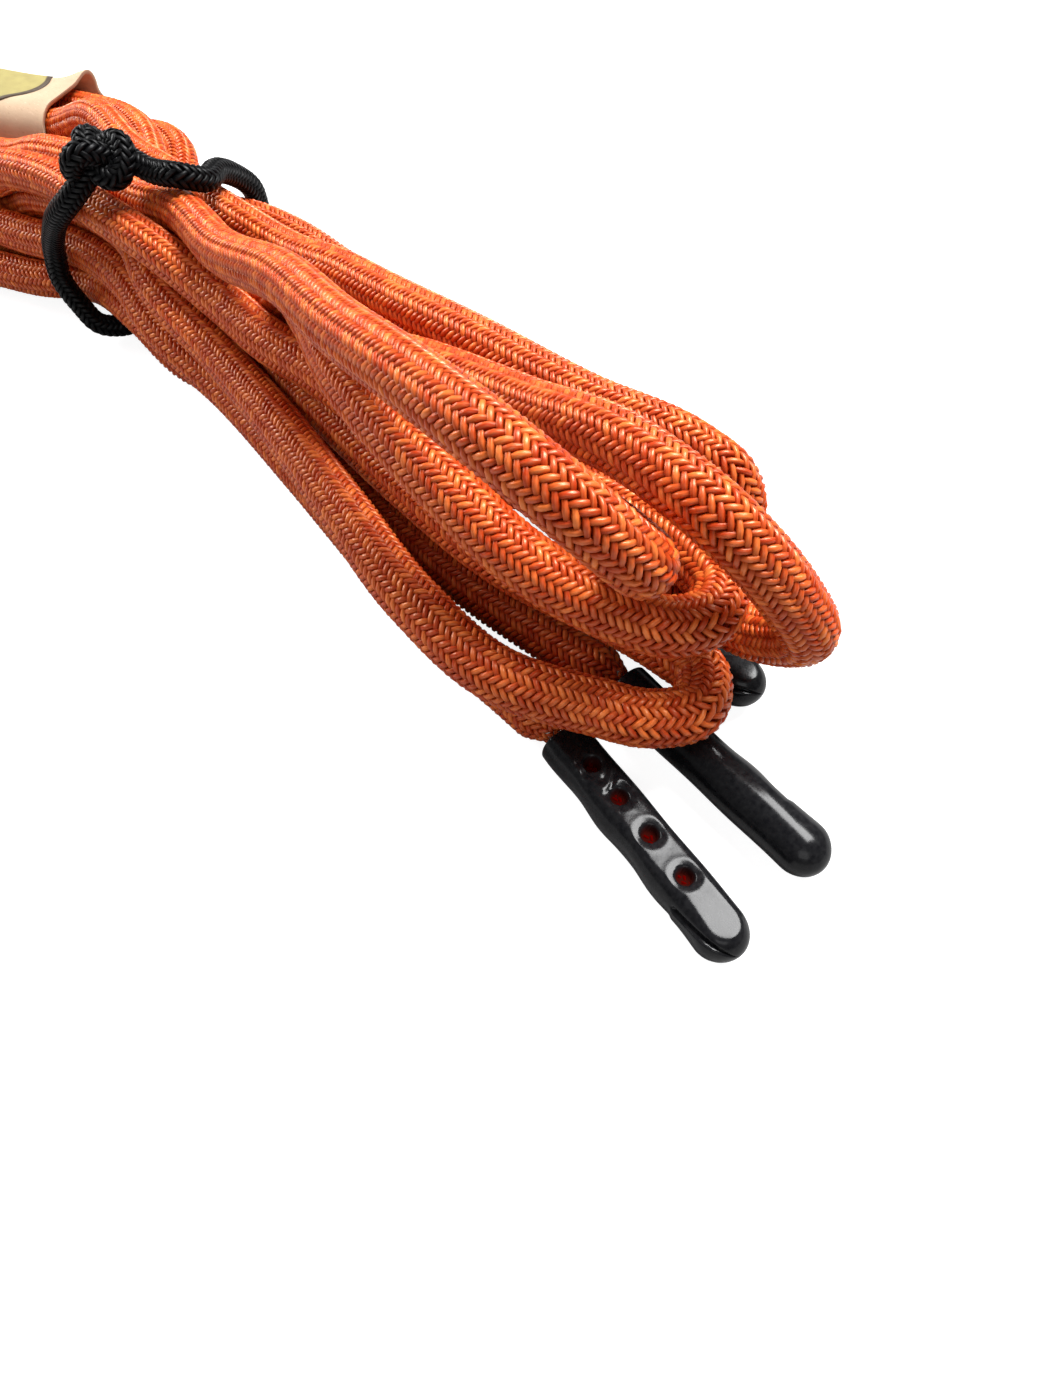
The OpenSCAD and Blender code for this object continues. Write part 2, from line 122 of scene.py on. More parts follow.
# The run's point at the hinge, and where each aglet's tip lies on the table [x, y].
HINGE_AT = 3
TIPS = {"end_1": (91.6, -13.9), "end_2": (93.4, -4.9), "end_3": (79.6, 4.4), "end_4": (76.4, 11.6)}
AGLET_L, AGLET_R = 20.5, 2.05
# From the run's end to the aglet's mouth, then the cord's radius and length inside it.
MOUTH_GAP = 1.0
IN_AGLET_R, IN_AGLET_L = 0.95, 18
# The cord narrows over NECK_L, and starts to NECK_BEFORE ahead of the run's end.
NECK_L, NECK_BEFORE = 3.5, 2.5


# ---------------------------------------------------------------- paths
def left_at(s, column, row, fan):
    """A point of the left half, s along the strands."""
    middle = BAND_MIDDLE if column > LAST_FREE_COLUMN else FREE_MIDDLE
    t = -0.5 + PITCH * (middle + (column - middle) * (1 + FAN * fan))
    z = BASE_Z + ROW * row * (1 + FAN * fan)
    c, n = math.cos(LEFT_TURN), math.sin(LEFT_TURN)
    return np.array([-s * c - t * n, -s * n + t * c, z])


def left_strand(name, far, fan):
    """From the tie out to the start of the turn."""
    column, row, y, z = LEFT[name]
    points = [(-TIE_HALF, *SEATS[name]), (-BULGE_X, y, z)]
    points += [left_at(s, column, row, 0)
               for s in (BUNDLE_START, BUNDLE_START + 8, BUNDLE_START + 24, BUNDLE_END)]
    if far > LONG_TURN:
        points += [left_at(BUNDLE_END + 12, column, row, 0.35 * fan),
                   left_at(far - 7, column, row, fan)]
    return points + [left_at(far, column, row, fan)]


def left_loop(p, q, reach, fan):
    """Out along strand p, round the turn and back along strand q."""
    half = (left_at(0, *LEFT[q][:2], fan) - left_at(0, *LEFT[p][:2], fan)) / 2
    far = reach - np.linalg.norm(half)
    middle = left_at(far, *LEFT[p][:2], fan) + half
    along = np.linalg.norm(half) * np.array([-math.cos(LEFT_TURN), -math.sin(LEFT_TURN), 0])
    turn = [middle - half * math.cos(a) + along * math.sin(a)
            for a in (math.pi / 4, math.pi / 2, 3 * math.pi / 4)]
    return left_strand(p, far, fan) + turn + left_strand(q, far, fan)[::-1]


def right_loop(first, loop, second):
    return [(TIE_HALF, *SEATS[first])] + loop + [(TIE_HALF, *SEATS[second])]


def free_end(name):
    """From the tie through the hinge point to the inside of the aglet."""
    run = ENDS[name]
    mouth = np.array(run[-1])
    ahead = np.array([*TIPS[name], mouth[2]]) - mouth
    ahead /= np.linalg.norm(ahead)
    return ([(TIE_HALF, *SEATS[name])] + run
            + [mouth + ahead * 6, mouth + ahead * 12, mouth + ahead * IN_AGLET_L])


def smooth_curve(points, spacing):
    """The CAD's curve through way-points, sampled evenly: returns points and arc length."""
    w = np.array([np.array(p, float) for p in points])
    gaps = np.linalg.norm(np.diff(w, axis=0), axis=1)
    ahead = np.diff(w, axis=0) / gaps[:, None]
    inner = (ahead[:-1] * gaps[1:, None] + ahead[1:] * gaps[:-1, None])
    inner /= (gaps[:-1] + gaps[1:])[:, None]
    slope = np.vstack([ahead[:1], inner, ahead[-1:]])
    rows = []
    for i, gap in enumerate(gaps):
        t = np.linspace(0, 1, max(4, int(gap / 0.1)), endpoint=False)[:, None]
        rows.append((2 * t**3 - 3 * t**2 + 1) * w[i] + (t**3 - 2 * t**2 + t) * slope[i] * gap
                    + (3 * t**2 - 2 * t**3) * w[i + 1] + (t**3 - t**2) * slope[i + 1] * gap)
    fine = np.vstack(rows + [w[-1:]])
    length = np.r_[0, np.cumsum(np.linalg.norm(np.diff(fine, axis=0), axis=1))]
    u = np.linspace(0, length[-1], int(length[-1] / spacing) + 1)
    return np.stack([np.interp(u, length, fine[:, k]) for k in range(3)], -1), u


def unit(v):
    return v / np.linalg.norm(v, axis=-1, keepdims=True)


def ease(a, b, x):
    """0 below a, 1 above b, smooth between."""
    t = np.clip((x - a) / (b - a), 0, 1)
    return t * t * (3 - 2 * t)


def hump(x, middle, width):
    """A smooth bump of height 1."""
    return np.exp(-((x - middle) / width) ** 2)


class Path:
    """A curve with its arc length u and a frame that turns as little as possible."""

    def __init__(self, points, spacing=0.1):
        self.points, self.u = smooth_curve(points, spacing)
        self.ahead = unit(np.gradient(self.points, axis=0))
        up = np.array([0, 0, 1.0]) - self.ahead[0] * self.ahead[0][2]
        if np.linalg.norm(up) < 0.1:
            up = np.array([0, 1.0, 0]) - self.ahead[0] * self.ahead[0][1]
        ups = []
        for ahead in self.ahead:
            up = up - ahead * (up @ ahead)
            up = up / np.linalg.norm(up)
            ups.append(up)
        self.up = np.array(ups)
        self.across = np.cross(self.ahead, self.up)
        self.length = self.u[-1]

    def at(self, u):
        """Point, up and across at arc lengths u."""
        return [np.stack([np.interp(u, self.u, part[:, k]) for k in range(3)], -1)
                for part in (self.points, self.up, self.across)]

    def nearest(self, point):
        return self.u[np.argmin(np.linalg.norm(self.points - np.array(point), axis=1))]


# ---------------------------------------------------------------- meshes
def mesh_piece(name, verts, quads, caps, material, attributes, uv):
    """A mesh object in metres from vertices in mm, quads, end polygons and per-vertex values."""
    mesh = bpy.data.meshes.new(name)
    starts = [np.arange(len(quads)) * 4]
    loops = [quads.ravel()]
    totals = [np.full(len(quads), 4)]
    at = len(quads) * 4
    for cap in caps:
        starts.append(np.array([at]))
        totals.append(np.array([len(cap)]))
        loops.append(np.array(cap))
        at += len(cap)
    mesh.vertices.add(len(verts))
    mesh.vertices.foreach_set("co", (verts * MM).astype(np.float32).ravel())
    mesh.loops.add(at)
    mesh.loops.foreach_set("vertex_index", np.concatenate(loops).astype(np.int32))
    mesh.polygons.add(len(quads) + len(caps))
    mesh.polygons.foreach_set("loop_start", np.concatenate(starts).astype(np.int32))
    mesh.polygons.foreach_set("loop_total", np.concatenate(totals).astype(np.int32))
    mesh.update(calc_edges=True)
    mesh.polygons.foreach_set("use_smooth", np.ones(len(mesh.polygons), bool))
    for key, values in attributes.items():
        mesh.attributes.new(key, "FLOAT", "POINT").data.foreach_set(
            "value", values.astype(np.float32))
    layer = mesh.uv_layers.new(name="OFBake")
    flat_uv = np.zeros((at, 2), np.float32)
    flat_uv[:len(uv)] = uv
    if at > len(uv):
        flat_uv[len(uv):] = uv[0]
    layer.data.foreach_set("uv", flat_uv.ravel())
    mesh.validate()
    mesh.materials.append(material)
    ob = bpy.data.objects.new(name, mesh)
    bpy.context.collection.objects.link(ob)
    return ob


def tube_grid(rings, sides, start):
    """Quads of one closed tube whose vertices run ring by ring."""
    i = np.arange(rings - 1)[:, None] * sides
    k = np.arange(sides)[None]
    n = (k + 1) % sides
    quads = np.stack([i + k, i + n, i + sides + n, i + sides + k], -1)
    return quads.reshape(-1, 4) + start


def tube_uv(rings, sides, flipped=False):
    """Bake coordinates, in 0 to 1, of the corners of each quad of tube_grid.

    flipped is for quads whose corners are listed the other way round."""
    i, k = np.meshgrid(np.arange(rings - 1), np.arange(sides), indexing="ij")
    u = np.stack([i, i, i + 1, i + 1], -1) / (rings - 1)
    v = np.stack([k, k + 1, k + 1, k], -1) / sides
    if flipped:
        u, v = u[..., ::-1], v[..., ::-1]
    return np.stack([u, v], -1).reshape(-1, 2)


# Free edge of the bake layer.
UV_MARGIN = 0.001


def whole_uv(rings, sides, flipped=False):
    """The same, kept a little inside the edges of the bake layer."""
    return tube_uv(rings, sides, flipped) * (1 - 2 * UV_MARGIN) + UV_MARGIN


# Cross-section of one ribbon: across (share of its width) and up (share of its thickness),
# and the painted light on each of its four edges: painted shade on the two low ones.
RIBBON = np.array([(-0.5, 0), (-0.23, 0.95), (0.23, 0.95), (0.5, 0)])
RIBBON_PAINTED_LIGHT = np.array([0.4, 1, 1, 0.4])
# A ribbon's thickness as a share of the relief, and its width as a share of its pitch.
RIBBON_T, RIBBON_W = 0.9, 1.12
# Sides of the tube under the ribbons, all painted shade, and its depth as a multiple of the relief.
INNER_SIDES, INNER_DEPTH = 16, 2.1
# Shift of the yarn pattern from one ribbon to the next.
YARN_SHIFT = 3.7
# Inside an aglet a squeezed braid is painted in shade: it turns dark over this much of its radius.
DIM_OVER = 0.3
# Share of its row in the bake layer that a ribbon fills.
ROW_FILL = 0.9


def ribbon(place, r, u, turn, number, count, lay, relief):
    """One ribbon of a braid: its vertices, and their painted light, side, along and seed.

    turn is 1 or -1 for the way it winds; number is its place among count such ribbons."""
    centre, up, across = place
    step = number + (0 if turn > 0 else 0.5) + turn * count * u / lay
    angle = 2 * math.pi * step / count
    phase = (2 * step - 1) / 4
    wave = np.cos(2 * math.pi * phase) * turn
    stitch = np.floor(phase + (0.5 if turn > 0 else 0)).astype(int)
    stitch -= stitch.min()
    # A random number for each stitch: it shifts the yarn lines and sets how strong that stitch's
    # painted highlight is.
    shade = rng.random(stitch.max() + 1)[stitch]
    out = up * np.cos(angle)[:, None] + across * np.sin(angle)[:, None]
    thick = relief * RIBBON_T
    line = centre + out * (r - thick + relief * 0.5 * (wave - 1))[:, None]
    side = unit(np.cross(unit(np.gradient(line, axis=0)), out))
    slant = np.arctan(2 * math.pi * r / lay)
    wide = 2 * math.pi * r / count * np.cos(slant) * RIBBON_W
    verts = (line[:, None] + side[:, None] * (RIBBON[:, 0] * wide[:, None])[..., None]
             + out[:, None] * (RIBBON[:, 1] * thick)[None, :, None])
    # Painted shade inside the aglet: no light once the cord has narrowed to its size in there.
    light = np.clip((r - IN_AGLET_R) / DIM_OVER, 0, 1)[:, None]
    run = np.r_[0, np.cumsum(np.linalg.norm(np.diff(line, axis=0), axis=1))]
    # Painted light: shade where the ribbon dips under its neighbours, on its low edges and inside an
    # aglet.
    values = {"rise": ((0.5 + 0.5 * wave[:, None]) * RIBBON_PAINTED_LIGHT * light).ravel(),
              "side": np.tile(RIBBON[:, 0], len(u)),
              "along": np.repeat(run + number * YARN_SHIFT, len(RIBBON)),
              "seed": np.repeat(shade, len(RIBBON))}
    return verts.reshape(-1, 3), values


def inner_tube(path, u, radius, relief):
    """The tube that closes the gaps between the ribbons, with the same values: painted shade all
    over.
    """
    centre, up, across = path.at(u)
    r = radius(centre, u) - INNER_DEPTH * relief
    a = 2 * math.pi * np.arange(INNER_SIDES) / INNER_SIDES
    verts = (centre[:, None] + up[:, None] * (np.cos(a) * r[:, None])[..., None]
             + across[:, None] * (np.sin(a) * r[:, None])[..., None])
    # No light at all: the tube takes the painted shade colour.
    dark = np.zeros(len(u) * INNER_SIDES)
    values = {"rise": dark, "side": dark, "along": np.repeat(u, INNER_SIDES), "seed": dark}
    return verts.reshape(-1, 3), values


def braid(name, path, start, end, radius, count, lay, relief, material, spacing):
    """Braided sheath from arc length start to end: two sets of ribbons, two over and two under.

    count is the number of ribbons in each direction, lay the length of one turn, relief the
    height between an over and an under pass, spacing the distance between cross-sections."""
    u = np.linspace(start, end, max(3, int((end - start) / spacing) + 1))
    place = path.at(u)
    r = radius(place[0], u)
    inner_u = u[::2] if len(u) % 2 else np.r_[u[::2], u[-1]]
    tubes = [(*ribbon(place, r, u, turn, number, count, lay, relief), len(u), len(RIBBON))
             for turn in (1, -1) for number in range(count)]
    tubes.append((*inner_tube(path, inner_u, radius, relief), len(inner_u), INNER_SIDES))
    quads, caps, uv = [], [], []
    first = 0
    for row, (_, _, rings, sides) in enumerate(tubes):
        quads.append(tube_grid(rings, sides, first))
        after = first + rings * sides
        caps.append(list(range(first, first + sides))[::-1])
        caps.append(list(range(after - sides, after)))
        # Every tube has its own straight row in the bake layer.
        uv.append(tube_uv(rings, sides) * (1 - 2 * UV_MARGIN, ROW_FILL / len(tubes))
                  + (UV_MARGIN, (row + (1 - ROW_FILL) / 2) / len(tubes)))
        first = after
    attributes = {key: np.concatenate([values[key] for _, values, _, _ in tubes])
                  for key in ("rise", "side", "along", "seed")}
    return mesh_piece(name, np.vstack([verts for verts, _, _, _ in tubes]), np.vstack(quads),
                      caps, material, attributes, np.vstack(uv))


# ---------------------------------------------------------------- materials
class Nodes:
    """A short way to build one node material."""

    def __init__(self, name):
        self.material = bpy.data.materials.new(name)
        self.material.use_nodes = True
        self.tree = self.material.node_tree
        self.shader = self.tree.nodes["Principled BSDF"]

    def add(self, kind, **settings):
        node = self.tree.nodes.new(kind)
        for key, value in settings.items():
            if hasattr(node, key):
                setattr(node, key, value)
            else:
                node.inputs[key.replace("_", " ")].default_value = value
        return node

    def feed(self, socket, value):
        """Give a socket a number, a colour or another node's output."""
        if isinstance(value, (int, float)):
            socket.default_value = value
        elif isinstance(value, tuple):
            socket.default_value = (*value, 1)
        else:
            self.tree.links.new(value, socket)

    def attribute(self, name):
        return self.add("ShaderNodeAttribute", attribute_name=name).outputs["Fac"]

    def math(self, operation, a, b):
        node = self.add("ShaderNodeMath", operation=operation)
        self.feed(node.inputs[0], a)
        self.feed(node.inputs[1], b)
        return node.outputs[0]

    def vector(self, x, y, z):
        node = self.add("ShaderNodeCombineXYZ")
        for socket, value in zip(node.inputs, (x, y, z)):
            self.feed(socket, value)
        return node.outputs[0]

    def stretched(self, vector, scale, turn=0.0):
        node = self.add("ShaderNodeMapping")
        self.feed(node.inputs["Vector"], vector)
        node.inputs["Scale"].default_value = scale
        node.inputs["Rotation"].default_value = (0, 0, turn)
        return node.outputs["Vector"]

    def noise(self, vector, scale, detail=2.0, roughness=0.5):
        node = self.add("ShaderNodeTexNoise", Scale=scale, Detail=detail, Roughness=roughness)
        self.feed(node.inputs["Vector"], vector)
        return node.outputs["Fac"]

    def ramp(self, value, *stops):
        node = self.add("ShaderNodeValToRGB")
        self.feed(node.inputs["Fac"], value)
        elements = node.color_ramp.elements
        while len(elements) < len(stops):
            elements.new(0.5)
        for element, (place, colour) in zip(elements, stops):
            element.position = place
            element.color = (*colour, 1)
        return node.outputs["Color"]

    def mix(self, factor, a, b):
        node = self.add("ShaderNodeMix", data_type="RGBA", blend_type="MIX")
        for socket, value in zip((node.inputs[0], node.inputs[6], node.inputs[7]),
                                 (factor, a, b)):
            self.feed(socket, value)
        return node.outputs[2]

    def bump(self, height, strength, distance):
        node = self.add("ShaderNodeBump", Strength=strength, Distance=distance)
        self.feed(node.inputs["Height"], height)
        self.feed(self.shader.inputs["Normal"], node.outputs["Normal"])

    def set(self, **values):
        for key, value in values.items():
            self.feed(self.shader.inputs[key.replace("_", " ")], value)

    def object_place(self):
        return self.add("ShaderNodeTexCoord").outputs["Object"]


def braid_material(name, painted_shade, middle, painted_highlight, gloss, shine, tint, filament):
    """Filament yarn: fine lines along each ribbon, with painted shade where it dips under its
    neighbours and painted highlights on its crowns.

    Its three colours go from the painted shade in the gaps, through the yarn's own colour, to
    the painted highlight on the crowns."""
    m = Nodes(name)
    rise, side = m.attribute("rise"), m.attribute("side")
    along, seed = m.attribute("along"), m.attribute("seed")
    place = m.vector(m.math("MULTIPLY", side, filament), m.math("MULTIPLY", along, 0.35),
                     m.math("MULTIPLY", seed, 40))
    strands = m.noise(place, 1.0, 3, 0.6)
    # Painted shade: the gaps get the shade colour, the ribbons' flanks a half shade, the crowns the
    # yarn's own colour.
    flank = tuple(0.55 * c + 0.45 * d for c, d in zip(middle, painted_shade))
    depth = m.ramp(rise, (0.0, painted_shade), (0.45, flank), (0.8, middle))
    # Painted highlight on the crowns, stronger on some stitches at random and broken up by the fibre
    # lines.
    glint = m.math("MULTIPLY", m.math("MULTIPLY", seed, seed), 0.75)
    tone = m.math("ADD", m.math("MULTIPLY", m.math("SUBTRACT", strands, 0.42), 1.1), glint)
    colour = m.mix(m.math("MULTIPLY", tone, rise), depth, painted_highlight)
    m.set(Base_Color=colour, Roughness=m.math("ADD", m.math("MULTIPLY", strands, 0.2), gloss),
          Specular_IOR_Level=m.math("MULTIPLY", m.math("MULTIPLY", rise, rise), shine),
          Specular_Tint=tint)
    m.bump(strands, 0.5, 0.00006)
    return m.material


def core_material():
    """White core yarns: fine fibres along the cord."""
    m = Nodes("core_yarn")
    fibres = m.noise(m.stretched(m.object_place(), (300, 2500, 2500)), 1.0, 3)
    m.set(Base_Color=m.ramp(fibres, (0.3, (0.62, 0.58, 0.5)), (0.7, (0.86, 0.83, 0.77))),
          Roughness=0.85, Sheen_Weight=0.4)
    m.bump(fibres, 0.6, 0.0001)
    return m.material


def aglet_material():
    """Black lacquer over rolled sheet: slow waves from rolling and fine handling marks, and painted
    shade in the punched holes.
    """
    m = Nodes("aglet_metal")
    place = m.object_place()
    waves = m.noise(place, 260, 2)
    specks = m.noise(place, 2600, 2)
    pit = m.attribute("pit")
    open_air = m.math("SUBTRACT", 1.0, pit)
    black = m.ramp(specks, (0.3, (0.004, 0.004, 0.005)), (0.8, (0.012, 0.012, 0.013)))
    # Painted shade: the holes' floors get a dark maroon and no shine.
    m.set(Base_Color=m.mix(pit, black, (0.03, 0.003, 0.002)),
          Roughness=m.math("ADD", m.math("MULTIPLY", specks, 0.12), 0.15),
          Specular_IOR_Level=m.math("MULTIPLY", open_air, 0.17),
          Coat_Weight=m.math("MULTIPLY", open_air, 0.05), Coat_Roughness=0.12)
    m.bump(m.math("ADD", waves, m.math("MULTIPLY", specks, 0.05)), 0.3, 0.0004)
    return m.material


def melted_material():
    """Cord filament melted into dark orange blobs."""
    m = Nodes("melted_cord")
    blobs = m.noise(m.object_place(), 1500, 3)
    m.set(Base_Color=m.ramp(blobs, (0.3, (0.12, 0.015, 0.006)), (0.75, (0.4, 0.07, 0.02))),
          Roughness=0.35)
    m.bump(blobs, 0.5, 0.0002)
    return m.material


def kraft_material():
    """Uncoated kraft paper: mottled tan, short dark and pale fibres, rough."""
    m = Nodes("kraft_paper")
    place = m.object_place()
    cloud = m.noise(place, 180, 4, 0.6)
    fibres = m.noise(m.stretched(place, (1200, 4200, 4200), LEFT_TURN), 1.0, 4, 0.7)
    tan = m.ramp(cloud, (0.3, (0.42, 0.3, 0.2)), (0.7, (0.5, 0.37, 0.25)))
    pale = m.mix(m.ramp(fibres, (0.58, (0, 0, 0)), (0.72, (0.6, 0.6, 0.6))), tan,
                 (0.6, 0.46, 0.33))
    dark = m.mix(m.ramp(fibres, (0.28, (0.55, 0.55, 0.55)), (0.4, (0, 0, 0))), pale,
                 (0.27, 0.18, 0.11))
    m.set(Base_Color=dark, Roughness=0.85, Specular_IOR_Level=0.25)
    m.bump(m.math("ADD", fibres, m.math("MULTIPLY", cloud, 0.6)), 0.25, 0.0001)
    return m.material


def badge_material():
    """Plain ochre print with a thin dark rim; "rim" is 1 along the outline."""
    m = Nodes("badge_paper")
    ink = m.noise(m.object_place(), 900, 3)
    ochre = m.ramp(ink, (0.3, (0.26, 0.215, 0.07)), (0.7, (0.31, 0.26, 0.085)))
    m.set(Base_Color=m.mix(m.attribute("rim"), ochre, (0.05, 0.03, 0.015)), Roughness=0.6)
    m.bump(ink, 0.1, 0.00005)
    return m.material


def floor_material():
    """Plain pale floor that shows almost white to the camera and lights the part little."""
    m = Nodes("floor")
    seen = m.add("ShaderNodeLightPath").outputs["Is Camera Ray"]
    m.set(Base_Color=(0.35, 0.35, 0.35), Roughness=0.8, Specular_IOR_Level=0.2,
          Emission_Color=(1, 1, 1), Emission_Strength=m.math("MULTIPLY", seen, 0.9))
    return m.material


# Lace and tie: painted shade in the gaps, the yarn's own colour, painted highlight on the crowns.
LACE = braid_material("lace_braid", (0.07, 0.0004, 0.0001), (0.46, 0.034, 0.003),
                      (0.9, 0.22, 0.04), 0.25, 1.0, (1, 0.8, 0.55), 5.0)
TIE = braid_material("tie_braid", (0.0006, 0.0006, 0.0008), (0.002, 0.002, 0.0024),
                     (0.008, 0.008, 0.009), 0.3, 0.5, (1, 1, 1), 4.0)
CORE, AGLET, MELTED = core_material(), aglet_material(), melted_material()
KRAFT, BADGE = kraft_material(), badge_material()

# ---------------------------------------------------------------- laces
# The lace's braid: ribbons in each direction, length of one turn, relief, and cross-section spacing.
RIBBONS, LAY, RELIEF, STATION = 16, 9.8, 0.3, 0.25
# Rough length of each piece that a lace's folded part is cut into.
PIECE_LENGTH = 240
# A free end's braid starts LEAD past its hinge; BLEND_REACH is a reach to each side of the hinge.
LEAD, BLEND_REACH = 7, 5


def lace_radius(mouths):
    """Cord radius along a lace: squeezed at the tie, and tapering into each aglet.

    mouths holds each aglet mouth's arc length, and 1 or -1 for the way into it."""
    def radius(centre, u):
        r = CORD_R - SQUEEZE * np.exp(-(centre[:, 0] / SQUEEZE_REACH) ** 2)
        for mouth, sign in mouths:
            inside = ease(-NECK_BEFORE, NECK_L - NECK_BEFORE, sign * (u - mouth))
            r = r + (IN_AGLET_R - r) * inside
        return r
    return radius


def make_lace(letter, points, first, last):
    """One lace from the aglet of one free end to the aglet of the other."""
    path = Path(points)
    hinges = [path.nearest(ENDS[name][HINGE_AT]) for name in (first, last)]
    mouths = [(path.nearest(ENDS[first][-1]), -1), (path.nearest(ENDS[last][-1]), 1)]
    radius = lace_radius(mouths)
    cuts = [0, hinges[0] + LEAD, hinges[1] - LEAD, path.length]
    pieces = max(1, round((cuts[2] - cuts[1]) / PIECE_LENGTH))
    edges = np.linspace(cuts[1], cuts[2], pieces + 1)
    for i in range(pieces):
        ob = braid(f"lace_{letter}_braid_{i + 1}", path, edges[i], edges[i + 1], radius,
                   RIBBONS, LAY, RELIEF, LACE, STATION)
        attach(ob, "hank")
        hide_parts(f"lace_{letter}_sheath")
    for name, start, end, hinge, back in ((first, cuts[0], cuts[1], hinges[0], 1),
                                          (last, cuts[2], cuts[3], hinges[1], -1)):
        number = name[-1]
        ob = braid(f"tail_{number}_braid", path, start, end, radius, RIBBONS, LAY, RELIEF,
                   LACE, STATION)
        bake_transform(ob)
        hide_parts(f"tail_{number}_sheath")


make_lace("a", free_end("end_1")[::-1] + left_loop("end_1", "e", FAR_REACH - 8, 1)
          + right_loop("e", LOOPS["e"], "e_back") + left_loop("e_back", "c", FAR_REACH, 1)
          + right_loop("c", LOOPS["c"], "c_back")
          + left_loop("c_back", "end_2", FAR_REACH + 2, 1) + free_end("end_2"),
          "end_1", "end_2")
make_lace("b", free_end("end_4")[::-1] + left_loop("end_4", "d_back", BAND_REACH, 0)
          + right_loop("d_back", LOOPS["d"][::-1], "d") + left_loop("d", "a", BAND_REACH + 2, 1)
          + right_loop("a", LOOPS["a"], "a_back")
          + left_loop("a_back", "b", BAND_REACH + 4, 1)
          + right_loop("b", LOOPS["b"], "b_back")
          + left_loop("b_back", "end_3", BAND_REACH + 7, 0) + free_end("end_3"),
          "end_4", "end_3")

for node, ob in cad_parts.items():
    for part, material in (("core", CORE), ("cord_end", MELTED)):
        if part in node:
            ob.data.materials.clear()
            ob.data.materials.append(material)

# ---------------------------------------------------------------- tie
# The tie's cord and its braid, in the same terms as the lace's.
TIE_R = 1.15
TIE_RIBBONS, TIE_LAY, TIE_RELIEF, TIE_STATION = 8, 4.6, 0.17, 0.2
# From the knot round the bundle and back to it.
TIE_OUT = [(9.2, -0.5, 20.05), (12.2, 0.9, 20.1), (12.4, 3, 19.1),
           (10.5, 5.4, 18.4), (9, 7.9, 16.7), (7.9, 10.2, 14.2), (6.6, 11.3, 10.6),
           (5.7, 12, 7.2), (5.2, 12, 4.7), (4.4, 11.1, 2.3), (3.5, 9.2, 1.3), (2.4, 6.4, 1.2),
           (0.8, 2, 1.2), (-0.4, -3, 1.2), (-1, -5.2, 1.4), (-1.6, -6.7, 2.1),
           (-2.8, -7.5, 4.2), (-4.4, -7.8, 6.6), (-4.2, -7.4, 9.6), (-1.4, -7.5, 13),
           (2.2, -7.6, 16), (4.4, -6.7, 18)]
INTO_KNOT = [(5.6, -2.2, 20.9), (7.2, -1.2, 20.6)]
OUT_OF_KNOT = [(5.3, -5.4, 19.4), (5.6, -4, 20.6)]
# The knot's middle, its turns in degrees, its half width and height, and its points.
KNOT_AT = np.array([5.7, -3.3, 20.9])
KNOT_TURN, KNOT_TILT, KNOT_SPIN = 45, -5, -50
KNOT_SPREAD, KNOT_RISE, KNOT_POINTS = 0.88, 1.15, 48


def knot_path():
    """Three lobes that pass over and under each other, facing up and towards the front."""
    t = 2 * math.pi * np.arange(KNOT_POINTS) / KNOT_POINTS
    flat = np.stack([KNOT_SPREAD * (np.sin(t) + 2 * np.sin(2 * t)),
                     KNOT_SPREAD * (np.cos(t) - 2 * np.cos(2 * t)),
                     -KNOT_RISE * np.sin(3 * t)], -1)
    turn = (Matrix.Rotation(math.radians(KNOT_TURN), 3, "Z")
            @ Matrix.Rotation(math.radians(KNOT_TILT), 3, "X")
            @ Matrix.Rotation(math.radians(KNOT_SPIN), 3, "Z"))
    points = flat @ np.array(turn).T + KNOT_AT
    return Path(list(points) + [points[0]])


def tie_braid(name, path, node):
    """One piece of the tie cord, braided with fewer and finer ribbons."""
    ob = braid(name, path, 0, path.length, lambda centre, u: np.full(len(u), TIE_R),
               TIE_RIBBONS, TIE_LAY, TIE_RELIEF, TIE, TIE_STATION)
    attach(ob, "hank")
    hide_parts(node)


tie_braid("tie_ring_braid", Path(INTO_KNOT + TIE_OUT + OUT_OF_KNOT), "tie_sheath")
tie_braid("tie_knot_braid", knot_path(), "tie_knot")

# ---------------------------------------------------------------- aglets
# Punched holes: distance from the mouth, radius and depth.
HOLES = (3.6, 6.9, 10.5, 14.4)
HOLE_R, HOLE_DEPTH = 0.62, 0.6
# Each punched hole sits in a dent with a faint raised ring round it.
DENT_DEPTH, DENT_R = 0.2, 0.95
RING_RISE, RING_R, RING_W = 0.03, 1.25, 0.3
AGLET_WALL = 0.3
# Height of the pressed flat top, the softness of its edge, and the wrinkles near the mouth.
FLAT_AT, FLAT_SOFT = 1.62, 0.07
WRINKLE_AT, WRINKLE_REACH, WRINKLE_RISE = 4.6, 2.1, 0.07
# Length of the rounded tip.
ROUND_END = 2.3
# The rolled seam and the slit at the tip, as angles from the top.
SEAM_AT, SLIT_AT, SLIT_DRIFT = -1.75, -1.25, 0.35
SLIT_L, SLIT_DEPTH, SLIT_LIP = 5.2, 0.55, 0.13
# Points round the shell, distance between its rings, and rings round the tip.
AGLET_SIDES, AGLET_STATION, ROUND_STEPS = 140, 0.14, 26
# One aglet lies with its holes down, and each is waved a little differently.
TURNED_OVER, SEED_STEP = "end_2", 1.7
# Rings that turn the shell's edge into the mouth: share of its radius, and depth.
MOUTH_RINGS = ((0.6, 2.4), (0.8, 1.6), (1 - AGLET_WALL / AGLET_R, 0.02), (0.97, -0.04))


